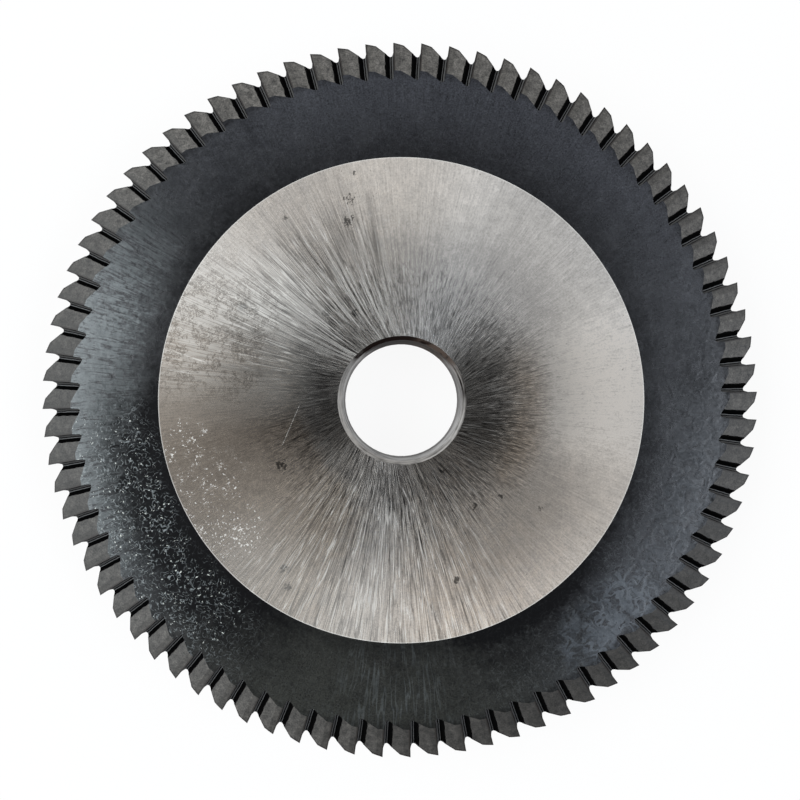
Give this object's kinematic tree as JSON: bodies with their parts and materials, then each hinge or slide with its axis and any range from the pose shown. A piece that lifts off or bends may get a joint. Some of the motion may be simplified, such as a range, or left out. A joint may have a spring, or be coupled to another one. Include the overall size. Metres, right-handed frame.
{
  "type": "key cutting wheel",
  "caption": "Flat steel milling wheel with a plain centre bore, teeth on its edge and both flanks of its rim, slotted front face and raised ground hub faces.",
  "frame": {"origin": "centre of the back hub face, on the bore's axis, where the wheel rests", "axes": "+Z along the bore's axis towards the face with the side teeth; +X lies 1.39 degrees before a tooth's cutting face, and the teeth point anticlockwise seen from +Z"},
  "size_m": [0.0762, 0.0762, 0.0072],
  "materials": {
    "tool_steel": "ground bright on the hub faces, black oxide on the rings, fine ground on the teeth"
  },
  "bodies": {
    "root": {"cutting_wheel": "tool_steel"}
  },
  "joints": []
}
